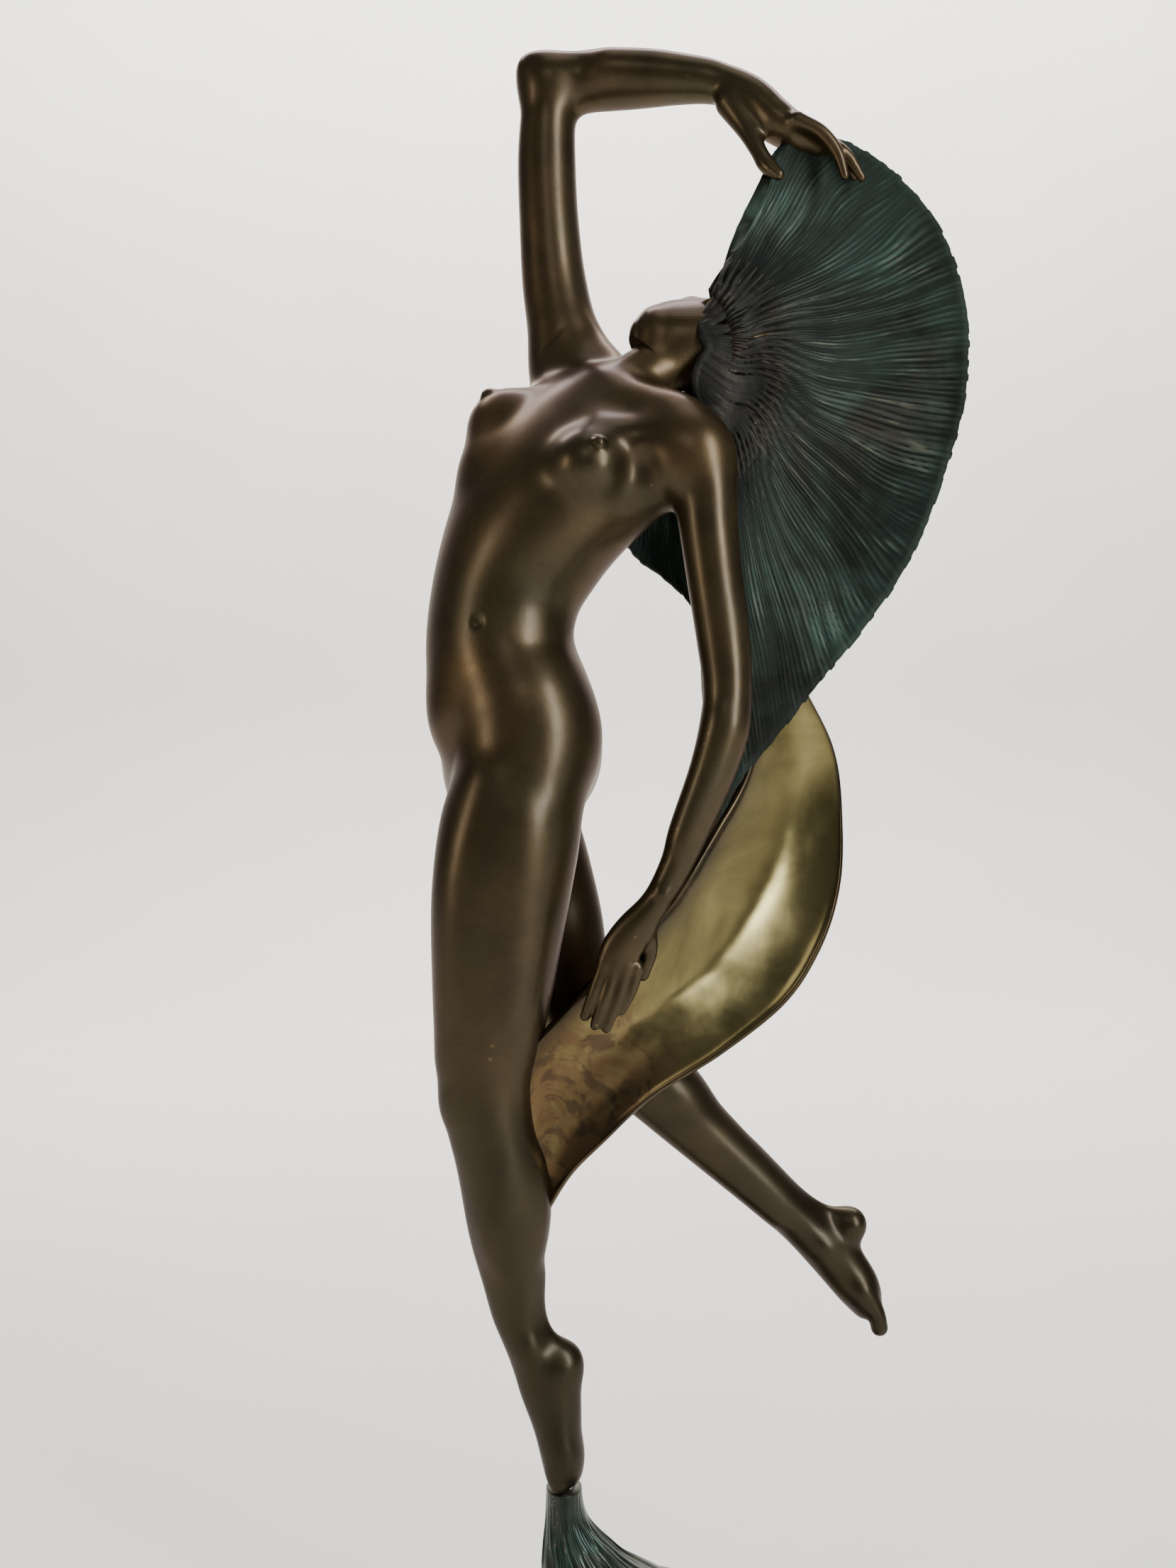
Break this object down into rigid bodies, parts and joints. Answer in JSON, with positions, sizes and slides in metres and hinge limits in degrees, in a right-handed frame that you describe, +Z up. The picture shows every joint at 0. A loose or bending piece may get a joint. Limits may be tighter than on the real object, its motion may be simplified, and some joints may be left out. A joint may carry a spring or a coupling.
{
  "type": "dancer statuette",
  "caption": "Standing bronze figure of a dancer that holds a fan of hair and a scarf, on a stepped round stone plinth.",
  "frame": {"origin": "centre of the felt pad's underside, on the plinth's axis", "axes": "+Z up; the figure faces -X, turned a little towards -Y"},
  "size_m": [0.1916, 0.124, 0.6019],
  "materials": {
    "bronze_body": "dark brown patina, waxed",
    "bronze_hair": "green-black patina",
    "bronze_scarf": "polished on the hollow face",
    "bronze_base": "dark green patina",
    "bronze_pin": "plain",
    "marble": "polished",
    "felt": "felt",
    "steel": "zinc plated"
  },
  "bodies": {
    "root": {"felt_pad": "felt", "marble_plinth": "marble", "marble_step": "marble", "base_mound": "bronze_base", "base_screws": "steel", "base_screw_washers": "steel", "foot_stud": "steel", "stud_washer": "steel", "stud_nut": "steel", "standing_leg": "bronze_body", "trailing_leg": "bronze_body", "torso": "bronze_body", "core_plugs": "bronze_pin", "left_hip_sleeve": "bronze_pin", "right_hip_sleeve": "bronze_pin", "raised_arm": "bronze_body", "lowered_arm": "bronze_body", "head": "bronze_body", "hair_fan": "bronze_hair", "scarf": "bronze_scarf", "right_shoulder_pin": "bronze_pin", "left_shoulder_pin": "bronze_pin", "neck_pin": "bronze_pin", "hair_hand_rivet": "bronze_pin", "hair_head_rivet": "bronze_pin", "scarf_hand_rivet": "bronze_pin", "scarf_knee_rivet": "bronze_pin"}
  },
  "joints": []
}
